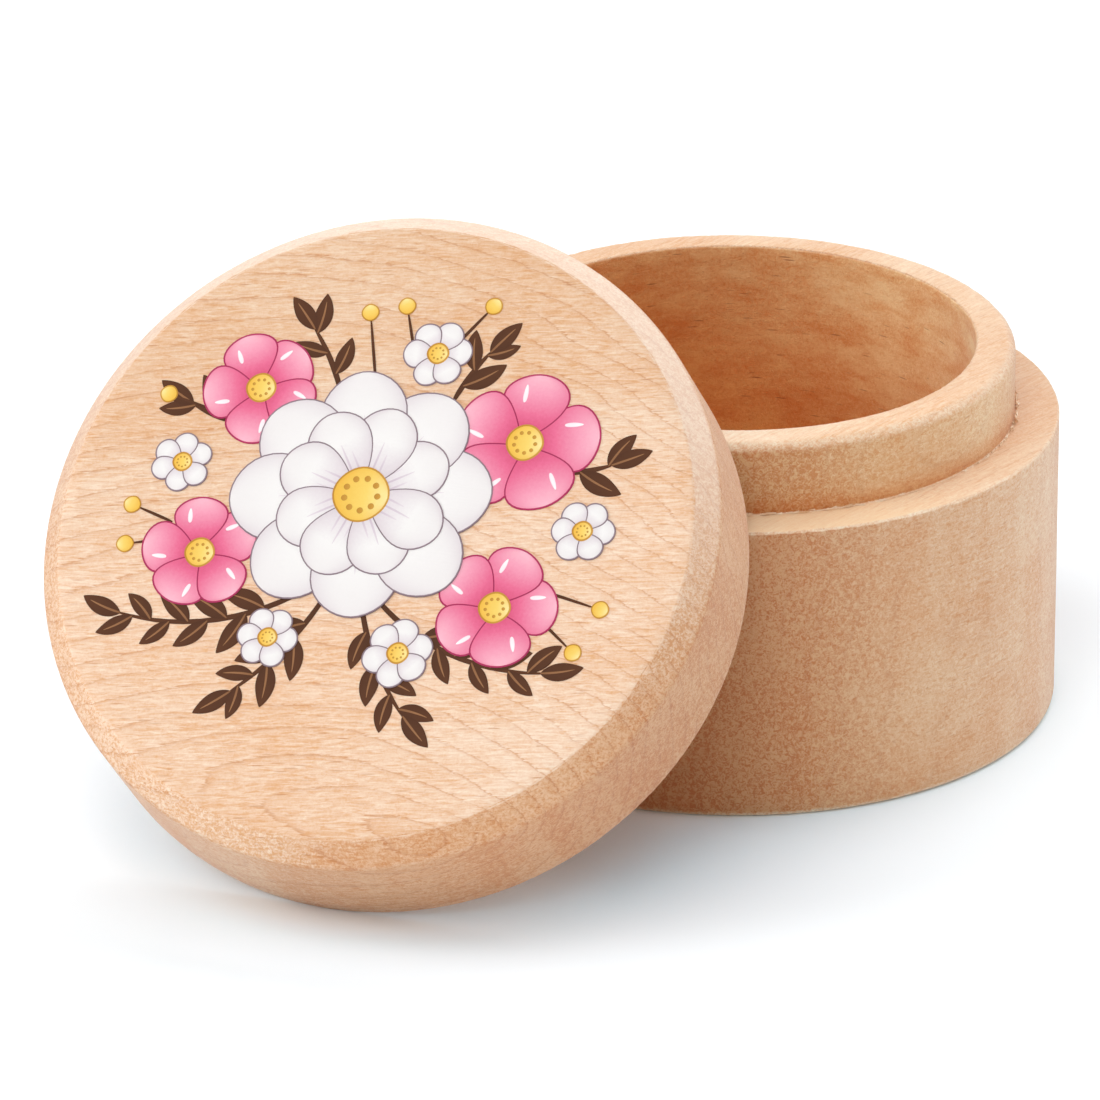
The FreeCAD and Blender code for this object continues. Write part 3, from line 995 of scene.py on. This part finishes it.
def sprig(sheet, start, heading, length, bend, leaves):
    """A stem with leaves on both sides and one at the end."""
    film(sheet, "brown", start, heading, length, STEM_WIDTH, widest=0.35, blunt=0.4, bend=bend)
    sheet["layer"] += 1
    for i in range(leaves):
        t = LEAVES_FROM + LEAVES_SPAN * i / max(leaves - 1, 1)
        spot, turn = way(start, heading, length, bend, t)
        side = 1 if i % 2 else -1
        turn += side * random.uniform(*LEAF_ANGLE)
        leaf(sheet, spot, turn, random.uniform(*LEAF_SIZE) - LEAF_SHRINK * t, -side * LEAF_BEND)
    spot, turn = way(start, heading, length, bend, END_LEAF_PLACE)
    leaf(sheet, spot, turn, END_LEAF_SIZE, bend * END_LEAF_BEND)


random.seed(5)
sprigs = new_sheet(SPRIG_LAYER)
sprig_rows = [
    (-3.0, -4.2, 224, 16.0, -0.95, 8), (0.6, -4.2, -44, 16.0, 0.95, 8), (-2.2, -4.8, 252, 10.6, -0.5, 6),
    (0.2, -4.8, -72, 10.6, 0.5, 6), (-5.0, 10.0, 116, 5.8, 0.3, 3), (3.4, 10.6, 74, 4.6, -0.3, 3),
    (13.0, 6.4, 10, 3.4, 0.3, 2), (-12.6, 6.8, 172, 3.4, -0.3, 2),
]
for i, (x, y, heading, length, bend, leaves) in enumerate(sprig_rows):
    sprigs["layer"] = SPRIG_LAYER + SPRIG_STEP * (i % 2)
    sprig(sprigs, Vector((x, y)), math.radians(heading), length, bend, leaves)
printed("print_sprigs", sprigs, inks)

# %% [markdown]
# Yellow berries on short stems carry the posy out to its edge. Their stems start where a blossom will lie.

# %% Berries
BERRY_WIDTH = 1.15
BERRY_LINE = 0.1
BERRY_STEM_WIDTH = 0.22
BERRY_PLACE = 0.95
BERRY_LAYER = 21
berry_rows = [
    (13.2, -2.6, 350, 4.4), (13.4, -4.6, 325, 3.6), (-15.0, -1.4, 165, 3.0), (-14.6, -2.6, 195, 3.2),
    (-0.2, 13.4, 112, 3.8), (-2.6, 11.0, 108, 5.4), (2.4, 14.6, 58, 3.8), (-14.0, 7.4, 168, 3.4),
]
berries = new_sheet(BERRY_LAYER)
for x, y, heading, length in berry_rows:
    berries["layer"] = BERRY_LAYER
    aim = math.radians(heading)
    start = Vector((x, y))
    berry = start + toward(aim) * length * BERRY_PLACE
    film(berries, "brown", start, aim, length, BERRY_STEM_WIDTH, widest=0.4, blunt=0.4)
    berries["layer"] += 1
    outlined(berries, "yellow", "gold_line", BERRY_LINE, berry, aim, BERRY_WIDTH, BERRY_WIDTH)
printed("print_berries", berries, inks)

# %% [markdown]
# A blossom is a ring of petals round a yellow middle. No two petals are quite the same, so each one is
# turned, bent and sized a little differently.

# %% Petals and middles
PETAL_TURN = 0.06
PETAL_SIZE = (0.96, 1.04)
PETAL_FROM = 0.1
PETAL_BEND = 0.18
PETAL_BREADTH = (0.95, 1.05)
MIDDLE_LINE = 0.14
MIDDLE_DOTS = 9
DOT_RING = 0.62
DOT_SIZE = 0.24


def ring_of_petals(sheet, middle, count, reach, breadth, turn, style):
    """A ring of outlined petals."""
    for i in range(count):
        heading = turn + 2 * math.pi * i / count + random.uniform(-PETAL_TURN, PETAL_TURN)
        length = reach * random.uniform(*PETAL_SIZE)
        start = middle + toward(heading) * reach * PETAL_FROM
        bend = random.uniform(-PETAL_BEND, PETAL_BEND)
        outlined(sheet, style["ink"], style["line_ink"], style["line"], start, heading,
                 length * (1 - PETAL_FROM), breadth * random.uniform(*PETAL_BREADTH), style["widest"],
                 style["blunt"], bend)
        for off, part in style["strokes"]:
            at = start + Vector((-math.sin(heading), math.cos(heading))) * off * breadth
            at += toward(heading) * reach * style["stroke_from"]
            film(sheet, style["stroke_ink"], at, heading + bend * style["stroke_from"], reach * part,
                 style["stroke_width"], widest=0.4, bend=bend * part)
        sheet["layer"] += 1


def middle_of_blossom(sheet, middle, radius):
    """A round yellow middle with a ring of small dots."""
    left = middle - Vector((radius, 0))
    outlined(sheet, "yellow", "gold_line", MIDDLE_LINE, left, 0, 2 * radius, 2 * radius)
    size = radius * DOT_SIZE
    for i in range(MIDDLE_DOTS):
        dot = middle + toward(2 * math.pi * i / MIDDLE_DOTS) * radius * DOT_RING
        film(sheet, "gold_line", dot - Vector((size / 2, 0)), 0, size, size)


# %% [markdown]
# Four pink blossoms stand round the middle. A short pale stroke on each petal is its shine. A fixed seed
# keeps the petals the same every time.

# %% Pink blossoms
PINK_PETAL = {"ink": "pink", "line_ink": "rose_line", "line": 0.12, "widest": 0.64, "blunt": 0.5,
              "strokes": [(0.2, 0.26)], "stroke_from": 0.46, "stroke_ink": "shine", "stroke_width": 0.34}

PINK_LAYER = 25
PINK_PETALS = 5
PINK_BREADTH = 0.92
PINK_MIDDLE = 0.24
random.seed(8)
pink_rows = [(9.4, 8.2, 5.3, 0.3), (-11.0, 9.6, 4.2, 0.9), (10.2, -4.4, 4.5, 0.1), (-12.4, -3.4, 4.2, 0.6)]
for i, (x, y, reach, turn) in enumerate(pink_rows, 1):
    pink_blossom = new_sheet(PINK_LAYER)
    middle = Vector((x, y))
    ring_of_petals(pink_blossom, middle, PINK_PETALS, reach, reach * PINK_BREADTH, turn, PINK_PETAL)
    middle_of_blossom(pink_blossom, middle, reach * PINK_MIDDLE)
    printed("print_pink_blossom_" + str(i), pink_blossom, inks)

# %% [markdown]
# The small white flowers fill the gaps between the pink ones. The large white blossom lies over all the
# others, and has two rings of petals, the upper one shorter and turned by half a petal.

# %% White blossoms
WHITE_PETAL = {"ink": "white", "line_ink": "mauve_line", "line": 0.1, "widest": 0.62, "blunt": 0.5,
               "strokes": [(-0.12, 0.3), (0.0, 0.42), (0.12, 0.3)], "stroke_from": 0.12,
               "stroke_ink": "lilac", "stroke_width": 0.16}
SMALL_LAYER = 44
SMALL_PETALS = 6
SMALL_BREADTH = 0.78
SMALL_MIDDLE = 0.28
SMALL_PETAL = {**WHITE_PETAL, "strokes": []}
small_rows = [(1.4, 14.0, 2.5, 0.2), (-15.4, 3.2, 2.2, 0.5), (15.2, 2.2, 2.3, 0.1), (4.0, -8.8, 2.5, 0.4),
              (-5.8, -9.0, 2.2, 0.0)]
small_flowers = new_sheet(SMALL_LAYER)
for x, y, reach, turn in small_rows:
    small_flowers["layer"] = SMALL_LAYER
    middle = Vector((x, y))
    ring_of_petals(small_flowers, middle, SMALL_PETALS, reach, reach * SMALL_BREADTH, turn, SMALL_PETAL)
    middle_of_blossom(small_flowers, middle, reach * SMALL_MIDDLE)
printed("print_small_flowers", small_flowers, inks)

WHITE_LAYER = 66
WHITE_PETALS = 8
WHITE_TURN = 0.15
WHITE_MIDDLE = 2.0
white_rings = [(9.6, 6.2, WHITE_TURN), (6.6, 4.6, WHITE_TURN + math.pi / WHITE_PETALS)]
white_blossom = new_sheet(WHITE_LAYER)
middle = Vector((-1.6, 2.6))
for reach, breadth, turn in white_rings:
    ring_of_petals(white_blossom, middle, WHITE_PETALS, reach, breadth, turn, WHITE_PETAL)
middle_of_blossom(white_blossom, middle, WHITE_MIDDLE)
printed("print_white_blossom", white_blossom, inks)
